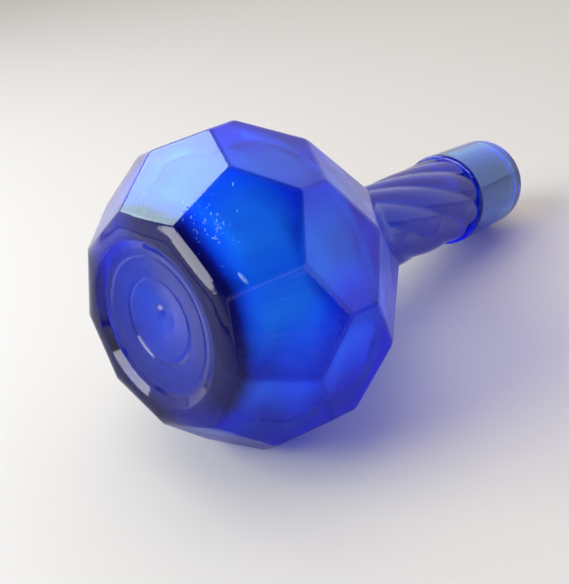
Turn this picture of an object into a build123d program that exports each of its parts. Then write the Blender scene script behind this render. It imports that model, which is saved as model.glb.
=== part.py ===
from build123d import *
import math
import os

# A faceted glass bottle for poison, upright, in millimetres.
# The origin is where the bottle's axis meets the surface that it stands on, and +Z runs up to the mouth.

# Driving dimensions: the facets
# Four rows of flat facets close round the body, each row turned half a facet from the row below.
# A lean is the angle in degrees between a facet and the level surface that the bottle stands on.
facet_count = 9
base_corner_radius = 29.6
lower_lean = 51.1
heel_step = 1.0
belly_edge_height = 9.2
belly_radius = 49.0
upper_lean = 66.1
shoulder_radius = 35.3
shoulder_lean = 55.0

# Driving dimensions: the pushed-up base
rest_width = 4.8
push_up_height = 5.4
push_up_lip_width = 2.6
push_up_lip_height = 1.6
ring_radius = 12.5
ring_width = 1.2
ring_step = 0.9
nub_radius = 3.4
nub_drop = 1.3

# Driving dimensions: the hollow
wall = 3.6
base_thickness = 6.5
heel_thickness = 7.5
heel_round = 12.0
cavity_round = 14.0
neck_root_round = 12.0

# Driving dimensions: the bore, and outwards from it the walls of the neck, the tube and the band
mouth_bore_radius = 10.0
neck_bore_step = 0.6
neck_foot_wall = 4.8
neck_top_wall = 6.8
tube_wall = 4.8
band_low_wall = 3.1
band_high_wall = 3.3

# Driving dimensions: the twisted neck
rib_count = 9
rib_depth = 1.1
rib_groove_round = 1.4
rib_lead = 218.0
neck_length = 60.6
neck_root_depth = 6.0
neck_sections = 9

# Driving dimensions: the glass band round the mouth
band_length = 38.9
band_low_round = 1.4
band_high_round = 3.6
mouth_round = 1.6
mouth_land = 5.0

# Driving dimensions: the cork
cork_clearance = 0.2
cork_depth = 18.0
cork_stand = 8.0
cork_taper = 1.1
cork_edge_round = 1.0

# One overrun serves every cut that runs out of the glass, and a rounding takes at most this share of a side.
overrun = 1.0
rounding_share = 0.45


def corner_to_flat(radius):
    """The distance from the axis to the middle of a side, where the corners are at the given radius."""
    return radius * math.cos(math.pi / facet_count)


def rise(run, slope):
    """How far a facet climbs over a level run, with its slope in radians."""
    return run * math.tan(slope)


# Places that follow from the facets: the two ends of each belly edge, the shoulder's corners, the neck's foot
base_flat_radius = corner_to_flat(base_corner_radius)
heel_radius = belly_radius - heel_step
heel_height = rise(heel_radius - base_flat_radius, math.radians(lower_lean))
belly_height = heel_height + belly_edge_height
shoulder_height = belly_height + rise(belly_radius - shoulder_radius, math.radians(upper_lean))
neck_bore_radius = mouth_bore_radius + neck_bore_step
neck_foot_radius = neck_bore_radius + neck_foot_wall
neck_top_radius = neck_bore_radius + neck_top_wall
shoulder_run = corner_to_flat(shoulder_radius) - neck_foot_radius
neck_foot_height = shoulder_height + rise(shoulder_run, math.radians(shoulder_lean))
neck_top_height = neck_foot_height + neck_length
total_height = neck_top_height + band_length

# Radii that follow from the bore and from the base
tube_radius = neck_bore_radius + tube_wall
band_low_radius = tube_radius + band_low_wall
band_high_radius = tube_radius + band_high_wall
push_up_radius = base_flat_radius - rest_width


def facet_rows():
    """Each row's facet as two points (radius, height) up its middle, and whether it faces a base corner."""
    return [
        ((base_flat_radius, 0), (heel_radius, heel_height), False),
        ((corner_to_flat(heel_radius), heel_height), (corner_to_flat(belly_radius), belly_height), True),
        ((belly_radius, belly_height), (shoulder_radius, shoulder_height), False),
        ((corner_to_flat(shoulder_radius), shoulder_height), (neck_foot_radius, neck_foot_height), True),
    ]


def inward(low, high):
    """The unit vector that points into the glass from the line through two points of a facet's middle."""
    across, up = high[0] - low[0], high[1] - low[1]
    length = math.hypot(across, up)
    return -up / length, across / length


def inset(low, high, depth):
    """The same line moved into the glass by a depth."""
    across, up = inward(low, high)
    return [(r + across * depth, z + up * depth) for r, z in (low, high)]


def meet(first, second):
    """The point where two lines cross, each given by two points."""
    (ax, az), (bx, bz) = first
    (cx, cz), (dx, dz) = second
    turn = (bx - ax) * (dz - cz) - (bz - az) * (dx - cx)
    along = ((cx - ax) * (dz - cz) - (cz - az) * (dx - cx)) / turn
    return ax + along * (bx - ax), az + along * (bz - az)


def upright(radius):
    """A line up the wall of a bore, as two points."""
    return [(radius, 0), (radius, total_height)]


def level(height):
    """A level line, as two points."""
    return [(0, height), (belly_radius, height)]


def rounded(points, wanted):
    """A closed outline of (radius, height) points, with a rounding wanted at some of them by their number.

    A rounding is limited by the shorter of the two sides that it joins.
    """
    corners = [Vector(r, 0, z) for r, z in points]
    outline = Face(Wire.make_polygon(corners, close=True))
    for number, radius in wanted.items():
        corner = corners[number]
        before = corners[number - 1] - corner
        after = corners[(number + 1) % len(corners)] - corner
        half = math.radians(before.get_angle(after)) / 2
        room = rounding_share * min(before.length, after.length) * math.tan(half)
        nearest = outline.vertices().sort_by_distance(corner)[0]
        outline = outline.fillet_2d(min(radius, room), [nearest])
    return outline


def turned(outline):
    """The solid that an outline makes when it turns about the bottle's axis."""
    return revolve(outline, axis=Axis.Z)


def facet_planes(low, high, faces_corner):
    """The planes that one row of facets lies in, all round the body."""
    across, up = inward(low, high)
    pitch = 360 / facet_count
    start = 0 if faces_corner else pitch / 2
    for k in range(facet_count):
        turn = math.radians(start + k * pitch)
        out = Vector(-across * math.cos(turn), -across * math.sin(turn), -up)
        place = Vector(low[0] * math.cos(turn), low[0] * math.sin(turn), low[1])
        yield Plane(origin=place, z_dir=out)


def faceted_body():
    """The solid body: a round blank shaved flat by every facet's plane."""
    blank = Cylinder(
        belly_radius + shoulder_radius, total_height, align=(Align.CENTER, Align.CENTER, Align.MIN)
    )
    for low, high, faces_corner in facet_rows():
        for plane in facet_planes(low, high, faces_corner):
            blank = split(blank, bisect_by=plane, keep=Keep.BOTTOM)
    return blank


def ribbed_section(crest_radius, turn):
    """The neck's outline across: round ribs side by side, with a soft groove between two ribs."""
    groove_radius = crest_radius - rib_depth
    pitch = 2 * math.pi / rib_count
    arcs = []
    for k in range(rib_count):
        low, crest, high = (turn + (k + along) * pitch for along in (0, 1 / 2, 1))
        arcs.append(
            ThreePointArc(
                (groove_radius * math.cos(low), groove_radius * math.sin(low)),
                (crest_radius * math.cos(crest), crest_radius * math.sin(crest)),
                (groove_radius * math.cos(high), groove_radius * math.sin(high)),
            )
        )
    outline = Face(Wire(arcs))
    return outline.fillet_2d(rib_groove_round, outline.vertices())


def twisted_neck():
    """The ribbed neck, from inside the shoulder up to the band, wider and turned further as it rises."""
    sections = []
    for k in range(neck_sections + 1):
        height = (neck_length + neck_root_depth) * k / neck_sections - neck_root_depth
        crest_radius = neck_foot_radius + (neck_top_radius - neck_foot_radius) * height / neck_length
        section = ribbed_section(crest_radius, 2 * math.pi * height / rib_lead)
        sections.append(Pos(0, 0, neck_foot_height + height) * section)
    return loft(sections)


def mouth_tube():
    """The plain end of the neck that the band is laid round, with its root inside the ribbed neck."""
    root = neck_top_height - rib_depth
    tube = Cylinder(
        tube_radius, total_height - mouth_land - root, align=(Align.CENTER, Align.CENTER, Align.MIN)
    )
    return Pos(0, 0, root) * tube


def cavity():
    """The hollow inside, smooth and round behind the facets, with the bore that leads out of it."""
    inner = [inset(low, high, wall) for low, high, _ in facet_rows()]
    crown = (0, push_up_height + base_thickness)
    heel = meet(inner[0], level(heel_thickness))
    knee = meet(inner[0], inner[1])
    belly = meet(inner[1], inner[2])
    shoulder = meet(inner[2], inner[3])
    root = meet(inner[3], upright(neck_bore_radius))
    top = total_height + overrun
    outline = rounded(
        [crown, heel, knee, belly, shoulder, root, (neck_bore_radius, top), (0, top)],
        {1: heel_round, 2: cavity_round, 3: cavity_round, 4: cavity_round, 5: neck_root_round},
    )
    return turned(outline)


def push_up():
    """The hollow under the base: a soft lip, a shallow cone, one raised ring and a nub at the middle."""
    lip_top = (push_up_radius - push_up_lip_width, push_up_lip_height)
    slope = (push_up_height - ring_step - push_up_lip_height) / lip_top[0]
    ring_foot = (ring_radius, push_up_lip_height + slope * (lip_top[0] - ring_radius))
    ring_top = (ring_radius - ring_width, ring_foot[1] + ring_step)
    nub_top = (nub_radius - nub_drop, push_up_height - nub_drop)
    outline = rounded(
        [
            (0, -overrun),
            (push_up_radius, -overrun),
            (push_up_radius, 0),
            lip_top,
            ring_foot,
            ring_top,
            (nub_radius, push_up_height),
            nub_top,
            (0, nub_top[1]),
        ],
        {},
    )
    return turned(outline)


def glass_bottle():
    """The blown glass: faceted body, twisted neck and mouth tube in one wall."""
    solid = faceted_body() + twisted_neck() + mouth_tube()
    return solid - cavity() - push_up()


def lip_band():
    """The smooth band of glass laid round the mouth, which closes over the end of the neck's tube."""
    land = total_height - mouth_land
    outline = rounded(
        [
            (tube_radius, neck_top_height),
            (band_low_radius, neck_top_height),
            (band_high_radius, total_height),
            (mouth_bore_radius, total_height),
            (mouth_bore_radius, land),
            (tube_radius, land),
        ],
        {1: band_low_round, 2: band_high_round, 3: mouth_round},
    )
    return turned(outline)


def cork_stopper():
    """The tapered cork, narrower than the bore at the mouth and narrower still below it."""
    mouth_radius = mouth_bore_radius - cork_clearance
    slope = cork_taper / (cork_depth + cork_stand)
    low = (mouth_radius - slope * cork_depth, total_height - cork_depth)
    high = (mouth_radius + slope * cork_stand, total_height + cork_stand)
    outline = rounded([(0, low[1]), low, high, (0, high[1])], {1: cork_edge_round, 2: cork_edge_round})
    return turned(outline)


def main():
    os.makedirs("parts", exist_ok=True)
    pieces = {"glass_bottle": glass_bottle, "lip_band": lip_band, "cork_stopper": cork_stopper}
    for name, make in pieces.items():
        solid = make()
        solid.label = name
        export_step(solid, f"parts/{name}.step")
        print(name, round(solid.volume), "mm3")


main()
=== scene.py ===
"""The looks of a faceted cobalt poison bottle with a twisted neck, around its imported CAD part.

The bottle stands upright in the part's own frame. Only the pale floor and the camera are turned,
so that the picture shows the bottle lying down.
"""
import math
import random

import bmesh
import bpy
from bpy.props import FloatProperty, FloatVectorProperty, IntProperty, PointerProperty
from mathutils import Matrix, Vector, noise


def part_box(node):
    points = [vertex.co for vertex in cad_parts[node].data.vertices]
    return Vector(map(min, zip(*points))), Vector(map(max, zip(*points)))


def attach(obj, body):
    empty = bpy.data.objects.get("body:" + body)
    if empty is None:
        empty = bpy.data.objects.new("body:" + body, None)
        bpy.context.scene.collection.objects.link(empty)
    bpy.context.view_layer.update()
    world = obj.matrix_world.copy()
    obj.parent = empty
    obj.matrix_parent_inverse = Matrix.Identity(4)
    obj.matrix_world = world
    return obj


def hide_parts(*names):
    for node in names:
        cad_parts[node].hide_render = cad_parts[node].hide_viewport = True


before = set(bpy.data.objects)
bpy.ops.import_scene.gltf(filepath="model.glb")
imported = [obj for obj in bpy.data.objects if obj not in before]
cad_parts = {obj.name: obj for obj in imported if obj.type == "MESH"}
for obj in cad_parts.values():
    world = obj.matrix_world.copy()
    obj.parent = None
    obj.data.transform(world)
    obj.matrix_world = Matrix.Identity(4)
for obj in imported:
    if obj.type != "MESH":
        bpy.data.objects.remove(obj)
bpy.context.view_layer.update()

bl_info = {
    "name": "Faceted Poison Bottle",
    "version": (1, 0, 0),
    "blender": (4, 5, 0),
    "location": "View3D > Sidebar > Bottle",
    "description": "Blows a faceted bottle with a twisted neck, lays a band round its mouth and corks it",
    "category": "Add Mesh",
}

MM = 0.001

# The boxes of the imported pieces, in metres
BAND_LOW, BAND_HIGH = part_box("lip_band")
GLASS_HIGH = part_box("glass_bottle")[1]
CORK_LOW, CORK_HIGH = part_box("cork_stopper")

# How finely shapes are divided
BLANK_SIDES = 12
RIB_POINTS = 20
NECK_LEVELS = 84
BEVEL_STEPS = 4
BASE_BEVEL_STEPS = 6
ROUNDING_STEPS = 7
HOLLOW_CUTS = 5
BAND_STEPS = 180
CORK_STEPS = 96
CORK_SPACING = 1.2 * MM
SEED_SUBDIVISIONS = 2
FLOOR_STEPS = 64

# By what edges and faces are picked: a length, an angle, a height, or the way that a face looks
MERGE = 0.5e-6
LEVEL_REACH = 0.2 * MM
SHORT_EDGE = 2 * MM
SHARP_ANGLE = math.radians(12)
SHARP_LENGTH = 4 * MM
LONG_SIDE = 4 * MM
MOUTH_ABOVE = 180 * MM
LOOKS_UP = 0.99
LOOKS_DOWN = -0.999

# The mesh attributes that mark the skin inside the bottle and the middle of each softened edge, where painted
# shade darkens the glass
INSIDE = "inside"
PAINTED_EDGE_SHADE = "seam"

# Softened edges are marked for painted shade from this height upwards
PAINTED_EDGE_SHADE_LOW = 17 * MM


class BottleSizes(bpy.types.PropertyGroup):
    """Sizes of the blown glass"""
    facet_count: IntProperty(name="Facets", description="Facets in each row", default=9, min=3)
    base_corner_radius: FloatProperty(
        name="Base corners", description="From the axis to a corner of the base",
        default=29.6 * MM, unit="LENGTH"
    )
    lower_lean: FloatProperty(
        name="Lower lean", description="Slope of the lowest facets",
        default=math.radians(51.1), unit="ROTATION"
    )
    heel_step: FloatProperty(
        name="Heel step", description="How far the belly's lower corners stand back",
        default=1.0 * MM, unit="LENGTH"
    )
    belly_edge_height: FloatProperty(
        name="Belly edge", description="Rise of the short edges round the belly",
        default=9.2 * MM, unit="LENGTH"
    )
    belly_radius: FloatProperty(
        name="Belly corners", description="From the axis to the widest corners",
        default=49.0 * MM, unit="LENGTH"
    )
    upper_lean: FloatProperty(
        name="Upper lean", description="Slope of the facets over the belly",
        default=math.radians(66.1), unit="ROTATION"
    )
    shoulder_radius: FloatProperty(
        name="Shoulder corners", description="From the axis to a corner of the shoulder",
        default=35.3 * MM, unit="LENGTH"
    )
    shoulder_lean: FloatProperty(
        name="Shoulder lean", description="Slope of the top facets",
        default=math.radians(55.0), unit="ROTATION"
    )
    wall: FloatProperty(
        name="Wall", description="Glass behind the facets",
        default=3.6 * MM, unit="LENGTH"
    )
    bore_radius: FloatProperty(
        name="Bore", description="Radius of the bore through the neck",
        default=10.6 * MM, unit="LENGTH"
    )
    neck_foot_radius: FloatProperty(
        name="Neck foot", description="Over the ribs, where the neck leaves the shoulder",
        default=15.4 * MM, unit="LENGTH"
    )
    neck_top_radius: FloatProperty(
        name="Neck top", description="Over the ribs, under the band",
        default=17.4 * MM, unit="LENGTH"
    )
    rib_depth: FloatProperty(
        name="Rib depth", description="From a rib's crest to its groove",
        default=1.1 * MM, unit="LENGTH"
    )
    rib_lead: FloatProperty(
        name="Rib lead", description="Climb of a rib in one whole turn",
        default=218.0 * MM, unit="LENGTH"
    )
    edge_rounding: FloatProperty(
        name="Edge rounding", description="Width of the rounding on a facet's edge",
        default=2.0 * MM, unit="LENGTH"
    )
    base_edge_rounding: FloatProperty(
        name="Base edge rounding", description="Width of the rounding round the base",
        default=5.0 * MM, unit="LENGTH"
    )


class GlassFinish(bpy.types.PropertyGroup):
    """Colour and surface of the glass"""
    colour: FloatVectorProperty(
        name="Glass colour", description="What the glass lets through",
        default=(0.005, 0.645, 0.984), subtype="COLOR", size=3, min=0.0, max=1.0
    )
    depth: FloatProperty(
        name="Colour depth", description="How fast the colour deepens, for each metre of glass",
        default=630.0, min=0.0
    )
    roughness: FloatProperty(
        name="Roughness", description="Roughness of the skin",
        default=0.07, subtype="FACTOR", min=0.0, max=1.0
    )
    inner_roughness: FloatProperty(
        name="Inner roughness", description="Roughness of the skin inside the bottle",
        default=0.34, subtype="FACTOR", min=0.0, max=1.0
    )
    # Painted shade: the glass's colour is darkened to this round the thick heel
    heel: FloatVectorProperty(
        name="Heel colour", description="How much the thick heel still lets through",
        default=(0.03, 0.03, 0.035), subtype="COLOR", size=3, min=0.0, max=1.0
    )
    # Painted shade: the glass's colour is darkened to this along the middle of the softened edges
    seam: FloatVectorProperty(
        name="Edge colour", description="How much the facets' edges let through",
        default=(0.54, 0.56, 0.62), subtype="COLOR", size=3, min=0.0, max=1.0
    )
    # Painted highlight: the bubbles' pale colour stands in for their glints
    seed: FloatVectorProperty(
        name="Seeds", description="Colour of the bubbles trapped in the glass",
        default=(0.42, 0.66, 1.0), subtype="COLOR", size=3, min=0.0, max=1.0
    )


class CorkFinish(bpy.types.PropertyGroup):
    """Colours of the cork"""
    light: FloatVectorProperty(
        name="Cork", description="Colour of clean cork",
        default=(0.74, 0.55, 0.36), subtype="COLOR", size=3, min=0.0, max=1.0
    )
    dark: FloatVectorProperty(
        name="Pores", description="Colour in the pores",
        default=(0.24, 0.12, 0.055), subtype="COLOR", size=3, min=0.0, max=1.0
    )


class StageSettings(bpy.types.PropertyGroup):
    """The floor and the light"""
    floor_colour: FloatVectorProperty(
        name="Floor", description="Colour of the floor",
        default=(0.80, 0.78, 0.785), subtype="COLOR", size=3, min=0.0, max=1.0
    )
    key_power: FloatProperty(
        name="Key light", description="Power of the soft light at the upper left",
        default=7.7, unit="POWER", min=0.0
    )
    key_colour: FloatVectorProperty(
        name="Key colour", description="Colour of the soft light at the upper left",
        default=(0.68, 0.97, 1.0), subtype="COLOR", size=3, min=0.0, max=1.0
    )
    window_power: FloatProperty(
        name="Window light", description="Power of the soft light before the base",
        default=13.3, unit="POWER", min=0.0
    )
    fill_power: FloatProperty(
        name="Fill light", description="Power of the cool light on the floor before the base",
        default=9.4, unit="POWER", min=0.0
    )
    fill_colour: FloatVectorProperty(
        name="Fill colour", description="Colour of the cool light on the floor",
        default=(0.93, 0.97, 1.0), subtype="COLOR", size=3, min=0.0, max=1.0
    )
    # Painted shade: the floor is darkened only where the glass mirrors it, most towards its near end
    mirrored_floor: FloatProperty(
        name="Mirrored floor", description="How bright the floor is where the glass mirrors it",
        default=0.52, subtype="FACTOR", min=0.0, max=1.0
    )
    mirrored_near: FloatProperty(
        name="Mirrored near floor", description="How bright the floor towards the camera is in the glass",
        default=0.08, subtype="FACTOR", min=0.0, max=1.0
    )
    overhead_power: FloatProperty(
        name="Overhead light", description="Power of the broad light above",
        default=5.8, unit="POWER", min=0.0
    )
    overhead_colour: FloatVectorProperty(
        name="Overhead colour", description="Colour of the broad light above",
        default=(1.0, 0.93, 0.82), subtype="COLOR", size=3, min=0.0, max=1.0
    )
    world_colour: FloatVectorProperty(
        name="Surroundings", description="Colour of the surroundings",
        default=(1.0, 0.965, 0.91), subtype="COLOR", size=3, min=0.0, max=1.0
    )
    world_level: FloatProperty(
        name="Surroundings", description="Brightness of the surroundings",
        default=0.95, min=0.0
    )
    dark_level: FloatProperty(
        name="Dark side", description="Brightness of the surroundings over the camera",
        default=0.06, min=0.0
    )


def facet_rows(sizes):
    """Each row's facet as two points (radius, height) up its middle, and whether it faces a base corner."""
    flat = math.cos(math.pi / sizes.facet_count)
    base = sizes.base_corner_radius * flat
    heel = sizes.belly_radius - sizes.heel_step
    heel_height = (heel - base) * math.tan(sizes.lower_lean)
    belly_height = heel_height + sizes.belly_edge_height
    shoulder_height = belly_height + (sizes.belly_radius - sizes.shoulder_radius) * math.tan(sizes.upper_lean)
    neck_run = sizes.shoulder_radius * flat - sizes.neck_foot_radius
    neck_height = shoulder_height + neck_run * math.tan(sizes.shoulder_lean)
    return [
        ((base, 0.0), (heel, heel_height), False),
        ((heel * flat, heel_height), (sizes.belly_radius * flat, belly_height), True),
        ((sizes.belly_radius, belly_height), (sizes.shoulder_radius, shoulder_height), False),
        ((sizes.shoulder_radius * flat, shoulder_height), (sizes.neck_foot_radius, neck_height), True),
    ]


def outward(low, high):
    """The unit vector (radius, height) that points out of the glass from a facet's middle line."""
    across = high[0] - low[0]
    up = high[1] - low[1]
    length = math.hypot(across, up)
    return up / length, -across / length


def around(radius, turn, height):
    """The point at a radius, at a turn about the bottle's axis and at a height."""
    return radius * math.cos(turn), radius * math.sin(turn), height


def everything(mesh):
    """All parts of a mesh, as bmesh operators want them."""
    return mesh.verts[:] + mesh.edges[:] + mesh.faces[:]


def shave(mesh, place, direction):
    """Cut a closed mesh flat at a plane, drop what lies beyond it and close the cut."""
    cut = bmesh.ops.bisect_plane(
        mesh, geom=everything(mesh), dist=MERGE, plane_co=place, plane_no=direction, clear_outer=True
    )
    rim = [part for part in cut["geom_cut"] if isinstance(part, bmesh.types.BMEdge)]
    bmesh.ops.edgeloop_fill(mesh, edges=rim)


def soften(mesh, edges, width, steps):
    """Round the edges given, and give back what the rounding made."""
    return bmesh.ops.bevel(
        mesh, geom=edges, offset=width, offset_type="WIDTH", affect="EDGES",
        segments=steps, profile=0.5, material=-1
    )


def open_edges(mesh, height):
    """The edges of a hole in a mesh that lie at a height."""
    return [
        edge for edge in mesh.edges
        if edge.is_boundary and all(abs(v.co.z - height) < LEVEL_REACH for v in edge.verts)
    ]


def mark_painted_edge_shade(mesh, softened):
    """Mark the middle of each softened edge above the base's corners, where painted shade darkens the glass.
    """
    seam = mesh.faces.layers.float[PAINTED_EDGE_SHADE]
    rounding = set(softened)
    for face in softened:
        if face.calc_center_median().z < PAINTED_EDGE_SHADE_LOW:
            continue
        if all(other in rounding for edge in face.edges for other in edge.link_faces):
            face[seam] = 1.0


def faceted_body(mesh, sizes, top):
    """A wide blank shaved flat by every facet, its edges softened, open at the base and at the neck."""
    mesh.faces.layers.float.new(PAINTED_EDGE_SHADE)
    blank_radius = 2 * sizes.belly_radius
    blank_height = 2 * top
    bmesh.ops.create_cone(
        mesh, cap_ends=True, segments=BLANK_SIDES, radius1=blank_radius, radius2=blank_radius,
        depth=blank_height, matrix=Matrix.Translation((0, 0, blank_height / 2))
    )
    pitch = 2 * math.pi / sizes.facet_count
    for low, high, faces_corner in facet_rows(sizes):
        across, up = outward(low, high)
        start = 0.0 if faces_corner else pitch / 2
        for k in range(sizes.facet_count):
            turn = start + k * pitch
            shave(mesh, around(low[0], turn, low[1]), around(across, turn, up))
    shave(mesh, (0, 0, top), (0, 0, 1))
    lid = [face for face in mesh.faces if face.normal.z > LOOKS_UP]
    bmesh.ops.delete(mesh, geom=lid, context="FACES_ONLY")
    short = [edge for edge in mesh.edges if edge.is_manifold and edge.calc_length() < SHORT_EDGE]
    bmesh.ops.collapse(mesh, edges=short)
    base_edges = [edge for edge in mesh.edges if all(v.co.z < MERGE for v in edge.verts)]
    soften(mesh, base_edges, sizes.base_edge_rounding, BASE_BEVEL_STEPS)
    sharp = [
        edge for edge in mesh.edges
        if edge.is_manifold and edge.calc_face_angle() > SHARP_ANGLE and edge.calc_length() > SHARP_LENGTH
    ]
    softened = soften(mesh, sharp, sizes.edge_rounding, BEVEL_STEPS)
    mark_painted_edge_shade(mesh, softened["faces"])
    floor = [face for face in mesh.faces if face.normal.z < LOOKS_DOWN]
    bmesh.ops.delete(mesh, geom=floor, context="FACES_ONLY")


# The neck: where it starts below its foot, its first ring above that start, and the share of a rib's
# depth that the glass kept
NECK_ROOT = 3.2 * MM
FIRST_RING = 0.6 * MM
RIB_SHARE = 0.85

# How softly the ribs meet each other and the facets, the angle past which a rib no longer counts, and
# the ratio past which the smaller of two values no longer counts
GROOVE_SOFTNESS = 0.22 * MM
FOOT_SOFTNESS = 0.5 * MM
RIB_ANGLE = 1.2
SOFT_RATIO = 40

# The plain tube inside the band, and the gap that it keeps to the band
TUBE_WALL = 4.8 * MM
TUBE_CHAMFER = 0.5 * MM
TUBE_RISE = 0.3 * MM
BORE_CHAMFER = 0.6 * MM
GLASS_GAP = 0.03 * MM


def soft_max(first, second, softness):
    """The larger of two values, with a smooth change between them."""
    gap = (first - second) / softness
    if abs(gap) > SOFT_RATIO:
        return max(first, second)
    return max(first, second) + softness * math.log1p(math.exp(-abs(gap)))


def rib_reach(crest_radius, depth, count, angle):
    """How far the ribbed outline reaches at an angle from a crest: round ribs with soft grooves."""
    half = math.pi / count
    groove = crest_radius - depth
    centre = (crest_radius ** 2 - groove ** 2) / (2 * (crest_radius - groove * math.cos(half)))
    bow = crest_radius - centre
    reaches = []
    for side in (-1, 0, 1):
        off = angle + side * 2 * half
        under = bow ** 2 - (centre * math.sin(off)) ** 2
        near = abs(off) < RIB_ANGLE
        reaches.append(centre * math.cos(off) + math.sqrt(max(under, 0.0)) if near else 0.0)
    first, second = sorted(reaches)[-2:]
    return soft_max(first, second, GROOVE_SOFTNESS)


def facet_reach(rows, count, height, azimuth):
    """How far the top row of facets reaches at a height and an azimuth."""
    low, high, _ = rows[3]
    radius = low[0] + (high[0] - low[0]) * (height - low[1]) / (high[1] - low[1])
    pitch = 2 * math.pi / count
    off = (azimuth + pitch / 2) % pitch - pitch / 2
    return radius / math.cos(off)


def neck_reach(neck, height, azimuth, turn):
    """How far the outside reaches at a height: the ribbed neck, flowing into the facets below it."""
    foot = neck["rows"][3][1]
    share = max(0.0, (height - foot[1]) / (BAND_LOW.z - foot[1]))
    crest = neck["foot_radius"] + (neck["top_radius"] - neck["foot_radius"]) * share
    pitch = 2 * math.pi / neck["count"]
    off = (azimuth - turn) % pitch - pitch / 2
    rib = rib_reach(crest, neck["rib_depth"], neck["count"], off)
    return soft_max(rib, facet_reach(neck["rows"], neck["count"], height, azimuth), FOOT_SOFTNESS)


def drawn_on(mesh, edges):
    """Draw a ring of edges on by one step, and give back the new ring's vertices and edges."""
    made = bmesh.ops.extrude_edge_only(mesh, edges=edges)["geom"]
    verts = [part for part in made if isinstance(part, bmesh.types.BMVert)]
    edges = [part for part in made if isinstance(part, bmesh.types.BMEdge)]
    return verts, edges


def set_ring(ring, height, reach_at):
    """Set a ring at a height, each vertex as far from the axis as its azimuth asks."""
    for v in ring:
        azimuth = math.atan2(v.co.y, v.co.x)
        v.co = around(reach_at(azimuth), azimuth, height)


def twisted_neck(mesh, sizes, bottom, end):
    """The ribbed neck drawn up ring by ring from the shoulder, then the plain tube inside the band."""
    shoulder = open_edges(mesh, bottom)
    first = bottom + FIRST_RING
    made = bmesh.ops.create_circle(
        mesh, cap_ends=False, segments=RIB_POINTS * sizes.facet_count, radius=sizes.neck_foot_radius,
        matrix=Matrix.Translation((0, 0, first))
    )
    verts = made["verts"]
    edges = list({edge for v in verts for edge in v.link_edges})
    neck = {
        "rows": facet_rows(sizes), "count": sizes.facet_count, "foot_radius": sizes.neck_foot_radius,
        "top_radius": sizes.neck_top_radius, "rib_depth": sizes.rib_depth * RIB_SHARE
    }
    foot = neck["rows"][3][1]

    def shape(ring, height):
        turn = 2 * math.pi * (height - foot[1]) / sizes.rib_lead
        set_ring(ring, height, lambda azimuth: neck_reach(neck, height, azimuth, turn))

    shape(verts, first)
    bmesh.ops.bridge_loops(mesh, edges=shoulder + edges)
    top = BAND_LOW.z - GLASS_GAP
    step = (top - first) / NECK_LEVELS
    twist = Matrix.Rotation(2 * math.pi * step / sizes.rib_lead, 3, "Z")
    for level in range(1, NECK_LEVELS + 1):
        verts, edges = drawn_on(mesh, edges)
        bmesh.ops.rotate(mesh, verts=verts, cent=(0, 0, 0), matrix=twist)
        shape(verts, first + level * step)
    tube_radius = sizes.bore_radius + TUBE_WALL - GLASS_GAP
    for radius, height in (
        (tube_radius + TUBE_CHAMFER, top), (tube_radius, top + TUBE_RISE),
        (tube_radius, end - TUBE_CHAMFER), (tube_radius - TUBE_CHAMFER, end),
        (sizes.bore_radius + BORE_CHAMFER, end)
    ):
        verts, edges = drawn_on(mesh, edges)
        set_ring(verts, height, lambda azimuth: radius)


def line_meet(first, second):
    """The point where two lines cross, each given by two points."""
    (ax, az), (bx, bz) = first
    (cx, cz), (dx, dz) = second
    turn = (bx - ax) * (dz - cz) - (bz - az) * (dx - cx)
    along = ((cx - ax) * (dz - cz) - (cz - az) * (dx - cx)) / turn
    return ax + along * (bx - ax), az + along * (bz - az)


def profile_wire(mesh, points, closed=False):
    """A line of edges through (radius, height, rounding) points, with each point rounded as it asks."""
    verts = [mesh.verts.new((radius, 0, height)) for radius, height, _ in points]
    edges = [mesh.edges.new(pair) for pair in zip(verts, verts[1:])]
    if closed:
        edges.append(mesh.edges.new((verts[-1], verts[0])))
    for v, (_, _, rounding) in zip(verts, points):
        if rounding <= 0:
            continue
        arms = [edge.other_vert(v).co - v.co for edge in v.link_edges]
        half = arms[0].angle(arms[1]) / 2
        bmesh.ops.bevel(
            mesh, geom=[v], offset=rounding / math.tan(half), offset_type="OFFSET", affect="VERTICES",
            segments=ROUNDING_STEPS, profile=0.5, material=-1, clamp_overlap=True
        )


def spun(points, steps, closed=False):
    """A mesh that turns a profile about the bottle's axis."""
    mesh = bmesh.new()
    profile_wire(mesh, points, closed)
    bmesh.ops.spin(
        mesh, geom=mesh.verts[:] + mesh.edges[:], cent=(0, 0, 0), axis=(0, 0, 1), angle=2 * math.pi,
        steps=steps, use_merge=True
    )
    bmesh.ops.remove_doubles(mesh, verts=mesh.verts[:], dist=MERGE)
    return mesh


def take_in(mesh, other):
    """Add another mesh to this one, and drop the other."""
    holder = bpy.data.meshes.new("holder")
    other.to_mesh(holder)
    other.free()
    mesh.from_mesh(holder)
    bpy.data.meshes.remove(holder)


def finely(points, longest):
    """The same profile with points added on its long sides, for shapes that bend later."""
    out = [points[0]]
    for before, after in zip(points, points[1:]):
        across = after[0] - before[0]
        up = after[1] - before[1]
        parts = max(1, math.ceil(math.hypot(across, up) / longest))
        for k in range(1, parts):
            share = k / parts
            out.append((before[0] + across * share, before[1] + up * share, 0.0))
        out.append(after)
    return out


# The hollow inside: the level of its heel, the height of its crown, the roundings of its corners from
# the heel up, and a height at which the bore's long side is broken
HEEL_LEVEL = 7.5 * MM
CROWN_HEIGHT = 11.9 * MM
HOLLOW_ROUNDINGS = (12 * MM, 14 * MM, 14 * MM, 14 * MM, 12 * MM)
BORE_BREAK = 150 * MM

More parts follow.
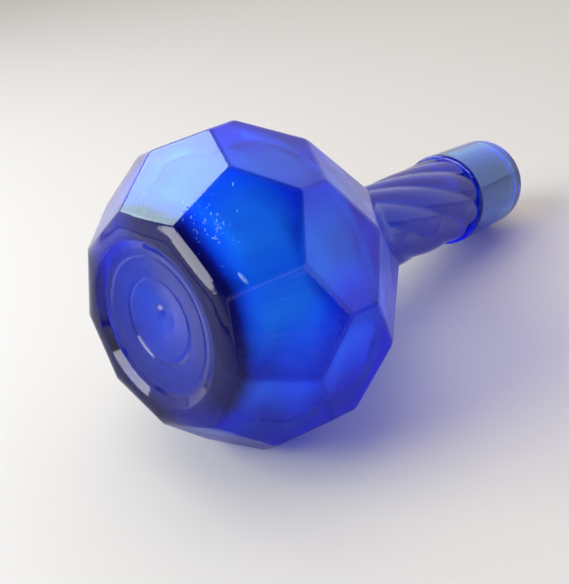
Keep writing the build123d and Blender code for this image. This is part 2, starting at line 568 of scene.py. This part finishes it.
# The hollow under the base from its rim in to the nub at its middle: radius, height and rounding in mm
PUSH_UP = (
    (24.3, 0.0, 0.0), (23.5, 0.08, 1.5), (20.9, 1.6, 1.6), (19.2, 2.1, 1.2), (18.5, 2.0, 1.0),
    (12.85, 3.2, 0.7), (12.0, 3.7, 0.5), (11.2, 3.6, 0.9), (5.5, 4.9, 2.0), (2.3, 5.2, 0.5),
    (1.2, 4.5, 0.6), (0.0, 4.4, 0.0)
)

# How far the nub lies off the axis, and the radius within which the base follows it
NUB_DRIFT = Vector((3.0 * MM, -1.6 * MM, 0.0))
DRIFT_RADIUS = 15.0 * MM

# How uneven a surface is: the reach of its waves, their number for each metre, and where the noise is read
HOLLOW_WAVES = (0.45 * MM, 28.0, 4.1)
BASE_WAVES = (0.16 * MM, 75.0, 9.3)
CORK_WAVES = (0.05 * MM, 260.0, 2.0)

# Where the smooth noise starts, so that it is the same each time
NOISE_START = 3

# The hollow is uneven below this height, and the hollow under the base within this radius
HOLLOW_WAVES_BELOW = 84 * MM
BASE_WAVES_WITHIN = 23.5 * MM


def unsettle(verts, amount, scale, seed):
    """Move vertices in and out by smooth noise, as hand work leaves a surface."""
    noise.seed_set(NOISE_START)
    shift = Vector((seed, -seed, seed / 2))
    for v in verts:
        wave = noise.noise_vector(v.co * scale + shift)
        v.co += wave * amount


def cavity_profile(sizes, top):
    """The hollow's outline from its crown up to the mouth of the tube."""
    inner = []
    for low, high, _ in facet_rows(sizes):
        across, up = outward(low, high)
        inner.append([(r - across * sizes.wall, z - up * sizes.wall) for r, z in (low, high)])
    level = [(0.0, HEEL_LEVEL), (sizes.belly_radius, HEEL_LEVEL)]
    bore = [(sizes.bore_radius, 0.0), (sizes.bore_radius, top)]
    pairs = [(inner[0], level), *zip(inner, inner[1:]), (inner[-1], bore)]
    points = [(0.0, CROWN_HEIGHT, 0.0)]
    for (first, second), rounding in zip(pairs, HOLLOW_ROUNDINGS):
        points.append((*line_meet(first, second), rounding))
    points += [(sizes.bore_radius, BORE_BREAK, 0.0), (sizes.bore_radius, top - BORE_CHAMFER, 0.0)]
    return points


def glass_cavity(sizes, top):
    """The hollow inside, smooth behind the facets and a little uneven."""
    mesh = spun(cavity_profile(sizes, top), RIB_POINTS * sizes.facet_count)
    long_sides = [edge for edge in mesh.edges if edge.calc_length() > LONG_SIDE]
    bmesh.ops.subdivide_edges(mesh, edges=long_sides, cuts=HOLLOW_CUTS, use_grid_fill=True)
    below = [v for v in mesh.verts if v.co.z < HOLLOW_WAVES_BELOW]
    unsettle(below, *HOLLOW_WAVES)
    inside = mesh.verts.layers.float.new(INSIDE)
    for v in mesh.verts:
        v[inside] = 1.0
    return mesh


def pushed_up_base(sizes):
    """The hollow under the base as it came off the mould, with the nub a little off its middle."""
    points = [tuple(value * MM for value in point) for point in PUSH_UP]
    mesh = spun(points, RIB_POINTS * sizes.facet_count)
    for v in mesh.verts:
        radius = math.hypot(v.co.x, v.co.y)
        share = max(0.0, 1.0 - radius / DRIFT_RADIUS)
        v.co += NUB_DRIFT * share
    inner = [v for v in mesh.verts if math.hypot(v.co.x, v.co.y) < BASE_WAVES_WITHIN]
    unsettle(inner, *BASE_WAVES)
    return mesh


def finish_piece(name, mesh, material, body, node):
    """Make a mesh into a finished piece that rides on a body and stands for a node, where it has one."""
    data = bpy.data.meshes.new(name)
    mesh.to_mesh(data)
    mesh.free()
    data.materials.append(material)
    for polygon in data.polygons:
        polygon.use_smooth = True
    piece = bpy.data.objects.new(name, data)
    bpy.context.scene.collection.objects.link(piece)
    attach(piece, body)
    if node:
        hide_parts(node)
    return piece


def flat_sides(piece):
    """Let big flat faces keep their flat shading, so that only the roundings between them bend the light."""
    weighted = piece.modifiers.new("Flat facets", "WEIGHTED_NORMAL")
    weighted.mode = "FACE_AREA"
    weighted.weight = 100
    weighted.keep_sharp = False


def feed(tree, made, inputs):
    """Give a node's inputs plain values, or links from the outputs of other nodes."""
    for name, value in inputs.items():
        if isinstance(value, bpy.types.NodeSocket):
            tree.links.new(value, made.inputs[name])
        else:
            made.inputs[name].default_value = value


def node(tree, kind, inputs=None, **settings):
    """Add a node to a tree, set what is asked on it and feed its inputs."""
    made = tree.nodes.new(kind)
    for key, value in settings.items():
        setattr(made, key, value)
    feed(tree, made, inputs or {})
    return made


def maths(tree, operation, *values):
    """What a sum on numbers gives."""
    return node(tree, "ShaderNodeMath", dict(enumerate(values)), operation=operation).outputs[0]


def vector_maths(tree, operation, *values, out="Vector"):
    """What a sum on vectors gives."""
    made = node(tree, "ShaderNodeVectorMath", dict(enumerate(values)), operation=operation)
    return made.outputs[out]


def smooth_change(tree, value, start, end, at_start=0.0, at_end=1.0):
    """A smooth change from one value to another, while another value runs from its start to its end."""
    inputs = {"Value": value, "From Min": start, "From Max": end, "To Min": at_start, "To Max": at_end}
    return node(tree, "ShaderNodeMapRange", inputs, interpolation_type="SMOOTHSTEP").outputs["Result"]


def mixed_colour(tree, factor, first, second):
    """Two colours mixed by a factor."""
    inputs = {"Factor": factor, "A": first, "B": second}
    return node(tree, "ShaderNodeMix", inputs, data_type="RGBA").outputs["Result"]


def two_tones(tree, factor, dim_at, full_at, dimming, colour):
    """A dimmed colour that changes to the full one, with the factors at which each is reached."""
    ramp = node(tree, "ShaderNodeValToRGB", {"Fac": factor})
    dim, full = ramp.color_ramp.elements
    dim.position = dim_at
    dim.color = (*[dimming * part for part in colour], 1)
    full.position = full_at
    full.color = (*colour, 1)
    return ramp.outputs["Color"]


def bumps(tree, height, strength, distance):
    """A normal that a height bends."""
    inputs = {"Strength": strength, "Distance": distance, "Height": height}
    return node(tree, "ShaderNodeBump", inputs).outputs["Normal"]


def object_place(tree):
    """Where a point lies in its piece's own coordinates, which are the bottle's."""
    return node(tree, "ShaderNodeTexCoord").outputs["Object"]


def new_material(name):
    """A new material and its node tree."""
    material = bpy.data.materials.new(name)
    material.use_nodes = True
    return material, material.node_tree


def new_group(name, inputs, output):
    """A new node group with one output, and with inputs that are one by default."""
    tree = bpy.data.node_groups.new(name, "ShaderNodeTree")
    for label in inputs:
        socket = tree.interface.new_socket(label, in_out="INPUT", socket_type="NodeSocketFloat")
        socket.default_value = 1.0
    tree.interface.new_socket(output, in_out="OUTPUT", socket_type="NodeSocketFloat")
    return tree


# Factors that keep the level part of a place, and its height with the spacing of the streaks
LEVEL = (1, 1, 0)
STREAK_CLIMB = (0, 0, 4.5)

# The painted heel shade is lighter near the axis, measured along this level direction
HEEL_SHADE_LOBES = (0.225, 0.974, 0)

# Waves and streaks on the skin of the bottle and of the band, and the band's share of the colour's depth
BOTTLE_SKIN = {"Waves": 0.3, "Streaks": 0.08}
BAND_SKIN = {"Waves": 0.3, "Streaks": 0.03}
BAND_DEPTH = 0.5

# The colour of the light that comes through the glass into its shadow
SHADOW_TINT = (1.0, 0.955, 1.0, 1)


def wavy_skin():
    """The unevenness of old blown glass: broad waves, and on the body fine chill streaks, as heights."""
    name = "Wavy glass skin"
    if name in bpy.data.node_groups:
        return bpy.data.node_groups[name]
    tree = new_group(name, ("Waves", "Streaks"), "Height")
    ins = node(tree, "NodeGroupInput")
    outs = node(tree, "NodeGroupOutput")
    place = object_place(tree)
    waves = node(tree, "ShaderNodeTexNoise", {"Vector": place, "Scale": 60.0, "Detail": 2.0})
    level = vector_maths(tree, "MULTIPLY", place, LEVEL)
    heading = vector_maths(tree, "NORMALIZE", level)
    rise = vector_maths(tree, "MULTIPLY", place, STREAK_CLIMB)
    drawn = vector_maths(tree, "ADD", heading, rise)
    streaks = node(tree, "ShaderNodeTexNoise", {"Vector": drawn, "Scale": 26.0, "Detail": 3.0})
    reach = vector_maths(tree, "LENGTH", level, out="Value")
    body = smooth_change(tree, reach, start=22 * MM, end=30 * MM)
    strength = maths(tree, "MULTIPLY", ins.outputs["Streaks"], body)
    waved = maths(tree, "MULTIPLY", waves.outputs["Fac"], ins.outputs["Waves"])
    height = maths(tree, "MULTIPLY_ADD", streaks.outputs["Fac"], strength, waved)
    feed(tree, outs, {"Height": height})
    return tree


def painted_heel_shade_mask():
    """A mask of painted shade round the thick heel: round the base and a little way up the facets."""
    name = "Thick heel"
    if name in bpy.data.node_groups:
        return bpy.data.node_groups[name]
    tree = new_group(name, (), "Mask")
    outs = node(tree, "NodeGroupOutput")
    place = object_place(tree)
    wander = node(tree, "ShaderNodeTexNoise", {"Vector": place, "Scale": 70.0})
    parts = node(tree, "ShaderNodeSeparateXYZ", {"Vector": place})
    shifted = maths(tree, "MULTIPLY_ADD", wander.outputs["Fac"], 4 * MM, parts.outputs["Z"])
    low = smooth_change(tree, shifted, start=4.5 * MM, end=9.5 * MM, at_start=1.0, at_end=0.0)
    level = vector_maths(tree, "MULTIPLY", place, LEVEL)
    reach = vector_maths(tree, "LENGTH", level, out="Value")
    rim = smooth_change(tree, reach, start=22.5 * MM, end=24.5 * MM, at_start=0.74)
    side = vector_maths(tree, "DOT_PRODUCT", place, HEEL_SHADE_LOBES, out="Value")
    away = maths(tree, "ABSOLUTE", side)
    lobe = smooth_change(tree, away, start=3 * MM, end=13.5 * MM, at_start=0.70)
    ring = maths(tree, "MULTIPLY", low, rim)
    feed(tree, outs, {"Mask": maths(tree, "MULTIPLY", ring, lobe)})
    return tree


def glass_material(name, finish, depth, skin):
    """Coloured glass that deepens with its thickness and lets tinted light through to the floor, with painted
    shade round the heel and along the facets' edges.
    """
    material, tree = new_material(name)
    tree.nodes.clear()
    out = node(tree, "ShaderNodeOutputMaterial")
    glass = node(tree, "ShaderNodeBsdfPrincipled", {"IOR": 1.5, "Transmission Weight": 1.0})
    # Painted shade round the thick heel
    heel = node(tree, "ShaderNodeGroup", node_tree=painted_heel_shade_mask())
    heel_shaded = mixed_colour(tree, heel.outputs["Mask"], (1, 1, 1, 1), (*finish.heel, 1))
    # Painted shade along the middle of the softened edges
    edge = node(tree, "ShaderNodeAttribute", attribute_name=PAINTED_EDGE_SHADE)
    darkened = mixed_colour(tree, edge.outputs["Fac"], heel_shaded, (*finish.seam, 1))
    inside = node(tree, "ShaderNodeAttribute", attribute_name=INSIDE)
    rough = node(tree, "ShaderNodeMapRange", {
        "Value": inside.outputs["Fac"], "To Min": finish.roughness, "To Max": finish.inner_roughness
    })
    wavy = node(tree, "ShaderNodeGroup", skin, node_tree=wavy_skin())
    feed(tree, glass, {
        "Base Color": darkened, "Roughness": rough.outputs["Result"],
        "Normal": bumps(tree, wavy.outputs["Height"], strength=0.5, distance=1 * MM)
    })
    clear = node(tree, "ShaderNodeBsdfTransparent", {"Color": SHADOW_TINT})
    path = node(tree, "ShaderNodeLightPath")
    mix = node(tree, "ShaderNodeMixShader", {
        0: path.outputs["Is Shadow Ray"], 1: glass.outputs[0], 2: clear.outputs[0]
    })
    tint = node(tree, "ShaderNodeVolumeAbsorption", {"Color": (*finish.colour, 1), "Density": depth})
    feed(tree, out, {"Surface": mix.outputs[0], "Volume": tint.outputs[0]})
    return material


def cork_material(finish):
    """Cork: warm and matt, with a cloudy grain, dark pores and short lenticels."""
    material, tree = new_material("Cork")
    place = object_place(tree)
    grain = node(tree, "ShaderNodeTexNoise", {"Vector": place, "Scale": 420.0, "Detail": 6.0})
    stretch = node(tree, "ShaderNodeMapping", {"Vector": place, "Scale": (160.0, 160.0, 420.0)})
    pores = node(tree, "ShaderNodeTexVoronoi", {"Vector": stretch.outputs["Vector"], "Scale": 1.6})
    spots = smooth_change(tree, pores.outputs["Distance"], start=0.10, end=0.34)
    clean = two_tones(
        tree, grain.outputs["Fac"], dim_at=0.30, full_at=0.66, dimming=0.72, colour=finish.light
    )
    colour = mixed_colour(tree, spots, (*finish.dark, 1), clean)
    heights = maths(tree, "MULTIPLY_ADD", grain.outputs["Fac"], 0.4, spots)
    feed(tree, tree.nodes["Principled BSDF"], {
        "Base Color": colour, "Roughness": 0.85,
        "Normal": bumps(tree, heights, strength=0.6, distance=0.4 * MM)
    })
    return material


def seed_glint_material(finish):
    """The skin of a bubble, pale and glowing as a painted glint, cloudier in some places than in others."""
    material, tree = new_material("Trapped air with painted glint")
    place = object_place(tree)
    cloud = node(tree, "ShaderNodeTexNoise", {"Vector": place, "Scale": 900.0})
    colour = two_tones(
        tree, cloud.outputs["Fac"], dim_at=0.35, full_at=0.60, dimming=0.6, colour=finish.seed
    )
    # A painted glow, though the bubbles are no lamp
    feed(tree, tree.nodes["Principled BSDF"], {
        "Base Color": colour, "Roughness": 0.35,
        "Emission Color": (0.06, 0.13, 0.65, 1), "Emission Strength": 0.9
    })
    return material


# The facet that shows the seeds: its row from the base up, and the turn that it faces in degrees
SEED_ROW = 0
SEED_TURN = 60

# Each long seed: its place along and up the facet in mm, its turn on it, and its half sizes in mm
LONG_SEEDS = (
    (9.5, -7.8, -1.49, (0.55, 2.0, 0.3)),
    (-2.5, -7.5, -0.93, (0.3, 0.9, 0.25)),
    (-11.1, 3.8, 0.95, (0.3, 0.55, 0.25)),
)
LONG_SEED_DEPTH = 0.45 * MM

# The cloud of fine seeds: their number and the start of the draws, its middle and spread along and up the
# facet in mm, the ends between which each depth and half width in mm and each length in widths is drawn,
# and the turn of a seed with how far it sways from it
CLOUD_COUNT = 64
CLOUD_DRAW = 7
CLOUD_ALONG = (-6.8, 4.0)
CLOUD_UP = (-6.6, 3.0)
CLOUD_DEPTH = (0.3, 0.5)
CLOUD_WIDTH = (0.09, 0.2)
CLOUD_LENGTH = (1.2, 2.6)
CLOUD_TURN = 0.95
CLOUD_SWAY = (-0.3, 0.3)
CLOUD_THICKNESS = 0.12 * MM


def facet_spot(sizes, along, up, depth, turned):
    """A point under the facet that shows the seeds, and the axes of a seed that is turned there."""
    low, high, _ = facet_rows(sizes)[SEED_ROW]
    across, rise = outward(low, high)
    azimuth = math.radians(SEED_TURN)
    out = Vector(around(across, azimuth, rise))
    side = Vector((-math.sin(azimuth), math.cos(azimuth), 0))
    climb = out.cross(side)
    if climb.z < 0:
        climb = -climb
    middle = Vector(around((low[0] + high[0]) / 2, azimuth, (low[1] + high[1]) / 2))
    axes = Matrix((side, climb, out)).transposed()
    return middle + side * along + climb * up - out * depth, axes @ Matrix.Rotation(turned, 3, "Z")


def add_seed(mesh, spot, size):
    """One long bubble in the glass."""
    place, axes = spot
    scale = Matrix.Diagonal(Vector(size))
    bmesh.ops.create_icosphere(
        mesh, subdivisions=SEED_SUBDIVISIONS, radius=1.0,
        matrix=Matrix.Translation(place) @ (axes @ scale).to_4x4()
    )


def trapped_seeds(sizes):
    """The bubbles that the glass trapped: three long ones and a thin cloud under one low facet."""
    mesh = bmesh.new()
    draw = random.Random(CLOUD_DRAW)
    for along, up, turned, size in LONG_SEEDS:
        spot = facet_spot(sizes, along * MM, up * MM, LONG_SEED_DEPTH, turned)
        add_seed(mesh, spot, [part * MM for part in size])
    for _ in range(CLOUD_COUNT):
        along = draw.gauss(*CLOUD_ALONG) * MM
        up = draw.gauss(*CLOUD_UP) * MM
        depth = draw.uniform(*CLOUD_DEPTH) * MM
        width = draw.uniform(*CLOUD_WIDTH) * MM
        length = width * draw.uniform(*CLOUD_LENGTH)
        spot = facet_spot(sizes, along, up, depth, CLOUD_TURN + draw.uniform(*CLOUD_SWAY))
        add_seed(mesh, spot, (width, length, CLOUD_THICKNESS))
    return mesh


class BOTTLE_OT_blow_glass(bpy.types.Operator):
    """Blow the bottle: body, twisted neck, tube, hollow and pushed-up base in one wall of glass"""
    bl_idname = "bottle.blow_glass"
    bl_label = "Blow the bottle"

    def execute(self, context):
        sizes = context.scene.bottle_sizes
        finish = context.scene.glass_finish
        _, foot, _ = facet_rows(sizes)[3]
        bottom = foot[1] - NECK_ROOT
        end = GLASS_HIGH.z - GLASS_GAP
        mesh = bmesh.new()
        faceted_body(mesh, sizes, bottom)
        twisted_neck(mesh, sizes, bottom, end)
        take_in(mesh, glass_cavity(sizes, end))
        bores = [
            edge for edge in mesh.edges
            if edge.is_boundary and all(v.co.z > MOUTH_ABOVE for v in edge.verts)
        ]
        bmesh.ops.bridge_loops(mesh, edges=bores)
        take_in(mesh, pushed_up_base(sizes))
        bmesh.ops.triangle_fill(mesh, use_beauty=True, edges=open_edges(mesh, 0.0), normal=(0, 0, -1))
        bmesh.ops.remove_doubles(mesh, verts=mesh.verts[:], dist=MERGE)
        bmesh.ops.recalc_face_normals(mesh, faces=mesh.faces[:])
        loose = sum(1 for edge in mesh.edges if not edge.is_manifold)
        if loose:
            raise RuntimeError(f"the bottle's glass has {loose} open edges")
        material = glass_material("Cobalt glass", finish, finish.depth, BOTTLE_SKIN)
        piece = finish_piece("blown_bottle", mesh, material, "bottle", "glass_bottle")
        flat_sides(piece)
        return {"FINISHED"}


class BOTTLE_OT_trap_seeds(bpy.types.Operator):
    """Trap the small bubbles under the facet that shows them"""
    bl_idname = "bottle.trap_seeds"
    bl_label = "Trap the seeds"

    def execute(self, context):
        mesh = trapped_seeds(context.scene.bottle_sizes)
        material = seed_glint_material(context.scene.glass_finish)
        finish_piece("trapped_seeds", mesh, material, "bottle", None)
        return {"FINISHED"}


# The band's walls at its foot and at its top, the mouth, and the roundings of its corners
BAND_FOOT_WALL = 3.1 * MM
BAND_TOP_WALL = 3.3 * MM
MOUTH_RADIUS = 10.0 * MM
SEAT_ROUNDING = 0.3 * MM
BAND_FOOT_ROUNDING = 1.4 * MM
BAND_TOP_ROUNDING = 3.6 * MM
MOUTH_ROUNDING = 1.6 * MM

# The cork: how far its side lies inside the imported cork's, how much narrower its low end is, and its edges
CORK_INSET = 0.05 * MM
CORK_TAPER = 1.1 * MM
CORK_ROUNDING = 1.0 * MM


class BOTTLE_OT_lay_band(bpy.types.Operator):
    """Lay the smooth band of glass round the mouth"""
    bl_idname = "bottle.lay_band"
    bl_label = "Lay the lip band"

    def execute(self, context):
        finish = context.scene.glass_finish
        tube = context.scene.bottle_sizes.bore_radius + TUBE_WALL
        low = BAND_LOW.z
        high = BAND_HIGH.z
        land = GLASS_HIGH.z
        points = [
            (tube, low, SEAT_ROUNDING), (tube + BAND_FOOT_WALL, low, BAND_FOOT_ROUNDING),
            (tube + BAND_TOP_WALL, high, BAND_TOP_ROUNDING), (MOUTH_RADIUS, high, MOUTH_ROUNDING),
            (MOUTH_RADIUS, land, SEAT_ROUNDING), (tube, land, SEAT_ROUNDING)
        ]
        mesh = spun(points, BAND_STEPS, closed=True)
        bmesh.ops.recalc_face_normals(mesh, faces=mesh.faces[:])
        material = glass_material("Band glass", finish, finish.depth * BAND_DEPTH, BAND_SKIN)
        piece = finish_piece("laid_band", mesh, material, "bottle", "lip_band")
        flat_sides(piece)
        return {"FINISHED"}


class BOTTLE_OT_cut_cork(bpy.types.Operator):
    """Cut the tapered cork and set it in the mouth"""
    bl_idname = "bottle.cut_cork"
    bl_label = "Cut the cork"

    def execute(self, context):
        low = CORK_LOW.z
        high = CORK_HIGH.z
        top_radius = CORK_HIGH.x - CORK_INSET
        low_radius = top_radius - CORK_TAPER
        points = [
            (0.0, low, 0.0), (low_radius, low, CORK_ROUNDING), (top_radius, high, CORK_ROUNDING),
            (0.0, high, 0.0)
        ]
        mesh = spun(finely(points, CORK_SPACING), CORK_STEPS)
        bmesh.ops.recalc_face_normals(mesh, faces=mesh.faces[:])
        side = [v for v in mesh.verts if low + CORK_ROUNDING < v.co.z < high - CORK_ROUNDING]
        unsettle(side, *CORK_WAVES)
        material = cork_material(context.scene.cork_finish)
        finish_piece("cut_cork", mesh, material, "stopper", "cork_stopper")
        return {"FINISHED"}


# The floor that the bottle lies on, in the bottle's own frame: the way up from it, a way along it, how far
# it lies from the origin, and its radius
FLOOR_UP = Vector((0.92499722, 0.33667145, -0.17616037))
FLOOR_SIDE = Vector((0.34202014, -0.93969262, 0.0))
FLOOR_LEVEL = -51.45 * MM
FLOOR_RADIUS = 9.0

# The photograph's point of view in the same frame
CAMERA_PLACE = Vector((0.030100, 0.156818, -0.103519))
CAMERA_RIGHT = Vector((-0.271778, 0.707269, 0.652616))
CAMERA_UP = Vector((0.948054, 0.080276, 0.307813))
CAMERA_BACK = Vector((0.165317, 0.702372, -0.692346))
CAMERA_LENS = 43.953
CAMERA_SENSOR = 36
CAMERA_CLIP_START = 0.005
CAMERA_CLIP_END = 20

# The side on which the surroundings are dim, and the way to the near end of the floor
DIM_SIDE = Vector((0.67, 0.54, -0.50)).normalized()
NEAR_FLOOR = Vector((-0.358, 0.617, -0.701)).normalized()

# Where each light stands from the bottle, and the point that all of them look at
KEY_FROM = Vector((0.88, -0.47, -0.10))
WINDOW_FROM = Vector((0.47, 0.0, -0.88))
FILL_FROM = WINDOW_FROM + FLOOR_SIDE * 0.35
OVERHEAD_FROM = FLOOR_UP + FLOOR_SIDE * 0.12
LIGHT_AIM = Vector((0, 0, 60 * MM))


def axes_matrix(right, up, back, place):
    """A placing matrix from three axes and a point."""
    turn = Matrix((right, up, back)).transposed().to_4x4()
    return Matrix.Translation(place) @ turn


def floor_material(stage):
    """A pale plain floor, unseen from below, with painted shade in its reflections: the glass mirrors it ever
    dimmer towards its near end.
    """
    material, tree = new_material("Pale floor")
    shader = tree.nodes["Principled BSDF"]
    path = node(tree, "ShaderNodeLightPath")
    place = object_place(tree)
    reach = vector_maths(tree, "DOT_PRODUCT", place, NEAR_FLOOR, out="Value")
    dimmed = smooth_change(
        tree, reach, start=0.25, end=0.8, at_start=1 - stage.mirrored_floor, at_end=1 - stage.mirrored_near
    )
    behind = smooth_change(tree, reach, start=-0.07, end=0.0)
    # Painted shade: glossy rays see the floor darker, the more so towards its near end
    mirror = maths(tree, "MULTIPLY", path.outputs["Is Glossy Ray"], behind)
    share = maths(tree, "MULTIPLY", mirror, dimmed)
    seen = mixed_colour(tree, share, (*stage.floor_colour, 1), (0, 0, 0, 1))
    feed(tree, shader, {"Base Color": seen, "Roughness": 0.6, "Specular IOR Level": 0.2})
    side = node(tree, "ShaderNodeNewGeometry")
    clear = node(tree, "ShaderNodeBsdfTransparent")
    mix = node(tree, "ShaderNodeMixShader", {
        0: side.outputs["Backfacing"], 1: shader.outputs[0], 2: clear.outputs[0]
    })
    feed(tree, tree.nodes["Material Output"], {"Surface": mix.outputs[0]})
    return material


def room_world(stage):
    """Pale surroundings, dim on the side that the facets mirror, so that they stay deep."""
    world = bpy.data.worlds.new("Room")
    world.use_nodes = True
    tree = world.node_tree
    place = node(tree, "ShaderNodeTexCoord")
    facing = vector_maths(tree, "DOT_PRODUCT", place.outputs["Generated"], DIM_SIDE, out="Value")
    fall = smooth_change(
        tree, facing, start=0.35, end=0.85, at_start=stage.world_level, at_end=stage.dark_level
    )
    path = node(tree, "ShaderNodeLightPath")
    seen = node(tree, "ShaderNodeMix", {
        "Factor": path.outputs["Is Camera Ray"], "A": fall, "B": stage.world_level
    }, data_type="FLOAT")
    feed(tree, tree.nodes["Background"], {
        "Color": (*stage.world_colour, 1), "Strength": seen.outputs["Result"]
    })
    return world


def pale_floor(stage):
    """The floor: a wide disc under the lying bottle that looks up."""
    mesh = bmesh.new()
    bmesh.ops.create_circle(
        mesh, cap_ends=True, segments=FLOOR_STEPS, radius=FLOOR_RADIUS,
        matrix=axes_matrix(FLOOR_SIDE, FLOOR_UP.cross(FLOOR_SIDE), FLOOR_UP, FLOOR_UP * FLOOR_LEVEL)
    )
    for face in mesh.faces:
        if face.normal.dot(FLOOR_UP) < 0:
            face.normal_flip()
    data = bpy.data.meshes.new("pale_floor")
    mesh.to_mesh(data)
    mesh.free()
    data.materials.append(floor_material(stage))
    return bpy.data.objects.new("pale_floor", data)


def add_light(name, direction, distance, width, power, colour=(1, 1, 1)):
    """A soft round light that looks at the bottle from a direction."""
    data = bpy.data.lights.new(name, "AREA")
    data.shape = "DISK"
    data.size = width
    data.energy = power
    data.color = colour
    light = bpy.data.objects.new(name, data)
    bpy.context.scene.collection.objects.link(light)
    light.location = LIGHT_AIM + direction.normalized() * distance
    light.rotation_mode = "QUATERNION"
    light.rotation_quaternion = (-direction).to_track_quat("-Z", "Y")
    return light


def add_camera():
    """The camera that sees the bottle as the photograph does."""
    lens = bpy.data.cameras.new("Camera")
    lens.sensor_width = CAMERA_SENSOR
    lens.lens = CAMERA_LENS
    lens.clip_start = CAMERA_CLIP_START
    lens.clip_end = CAMERA_CLIP_END
    camera = bpy.data.objects.new("Camera", lens)
    camera.matrix_world = axes_matrix(CAMERA_RIGHT, CAMERA_UP, CAMERA_BACK, CAMERA_PLACE)
    bpy.context.scene.collection.objects.link(camera)
    return camera


class BOTTLE_OT_set_stage(bpy.types.Operator):
    """Set the pale floor under the lying bottle, the soft light and the camera"""
    bl_idname = "bottle.set_stage"
    bl_label = "Set the stage"

    def execute(self, context):
        scene = context.scene
        stage = scene.stage_settings
        floor = pale_floor(stage)
        scene.collection.objects.link(floor)
        key = add_light("Key", KEY_FROM, 1.0, 0.70, stage.key_power, stage.key_colour)
        key.visible_diffuse = False
        window = add_light("Window", WINDOW_FROM, 1.0, 0.90, stage.window_power)
        window.visible_diffuse = False
        fill = add_light("Fill", FILL_FROM, 1.0, 0.8, stage.fill_power, stage.fill_colour)
        fill.visible_glossy = False
        overhead = add_light(
            "Overhead", OVERHEAD_FROM, 1.5, 1.2, stage.overhead_power, stage.overhead_colour
        )
        overhead.visible_glossy = False
        scene.world = room_world(stage)
        scene.camera = add_camera()
        scene.view_settings.view_transform = "Standard"
        scene.cycles.max_bounces = 24
        scene.cycles.transmission_bounces = 20
        scene.cycles.glossy_bounces = 10
        scene.cycles.transparent_max_bounces = 24
        scene.cycles.caustics_reflective = False
        scene.cycles.caustics_refractive = False
        return {"FINISHED"}


class BOTTLE_PT_sidebar(bpy.types.Panel):
    """The bottle's sizes, finishes and steps"""
    bl_label = "Faceted Poison Bottle"
    bl_space_type = "VIEW_3D"
    bl_region_type = "UI"
    bl_category = "Bottle"

    def draw(self, context):
        for group_name, kind in GROUPS.items():
            group = getattr(context.scene, group_name)
            box = self.layout.box()
            for name in kind.__annotations__:
                box.prop(group, name)
        for operator in STEPS:
            self.layout.operator(operator.bl_idname)


GROUPS = {
    "bottle_sizes": BottleSizes,
    "glass_finish": GlassFinish,
    "cork_finish": CorkFinish,
    "stage_settings": StageSettings,
}
STEPS = (
    BOTTLE_OT_blow_glass,
    BOTTLE_OT_trap_seeds,
    BOTTLE_OT_lay_band,
    BOTTLE_OT_cut_cork,
    BOTTLE_OT_set_stage,
)


def register():
    for kind in (*GROUPS.values(), *STEPS, BOTTLE_PT_sidebar):
        bpy.utils.register_class(kind)
    for name, group in GROUPS.items():
        setattr(bpy.types.Scene, name, PointerProperty(type=group))


def unregister():
    for name in GROUPS:
        delattr(bpy.types.Scene, name)
    for kind in reversed((*GROUPS.values(), *STEPS, BOTTLE_PT_sidebar)):
        bpy.utils.unregister_class(kind)


def main():
    register()
    bpy.ops.bottle.blow_glass()
    bpy.ops.bottle.trap_seeds()
    bpy.ops.bottle.lay_band()
    bpy.ops.bottle.cut_cork()
    bpy.ops.bottle.set_stage()


if __name__ == "__main__":
    main()
